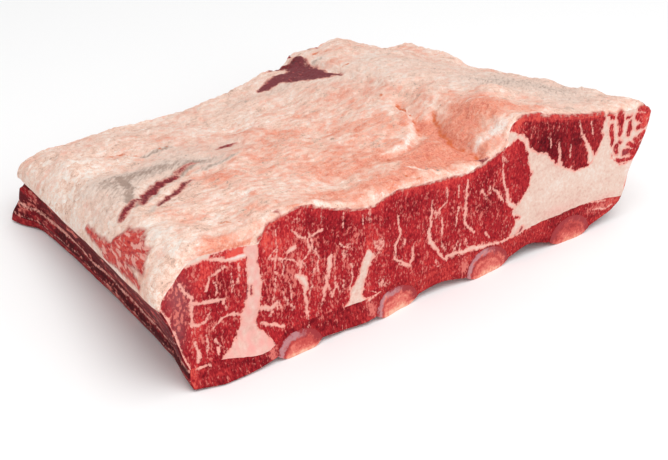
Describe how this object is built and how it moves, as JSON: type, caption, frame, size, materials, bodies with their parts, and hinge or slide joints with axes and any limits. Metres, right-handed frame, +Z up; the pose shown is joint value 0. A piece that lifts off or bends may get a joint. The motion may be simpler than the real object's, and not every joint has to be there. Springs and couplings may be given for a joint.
{
  "type": "raw beef chuck short rib",
  "caption": "Raw beef chuck short rib plate, uncooked: ribs underneath, marbled muscles and seam fat between, and a thick cover of fat on top.",
  "frame": {"origin": "middle of the bounding box's bottom face, on the surface the ribs rest on", "axes": "+X across the ribs, from the near left corner to the thick right end; +Y along the ribs, away from the near cut face; +Z up, from the ribs to the cover fat"},
  "size_m": [0.264, 0.181, 0.0717],
  "materials": {
    "cover_fat": "moist creamy pink fat with fibrous folds",
    "seam_fat": "smooth moist white fat",
    "lean": "wet red lean with fine marbling",
    "dark_lean": "wet dark red lean",
    "bone": "sawn rib bone with pink marrow and a lilac rim"
  },
  "bodies": {
    "root": {"fat_cap": "cover_fat", "corner_muscle": "lean", "chuck_muscle": "lean", "upper_muscle": "dark_lean", "end_muscle": "lean", "corner_seam_fat": "seam_fat", "tongue_seam_fat": "seam_fat", "end_seam_fat": "seam_fat", "intercostal_meat": "dark_lean", "rib_1": "bone", "rib_2": "bone", "rib_3": "bone", "rib_4": "bone"}
  },
  "joints": []
}
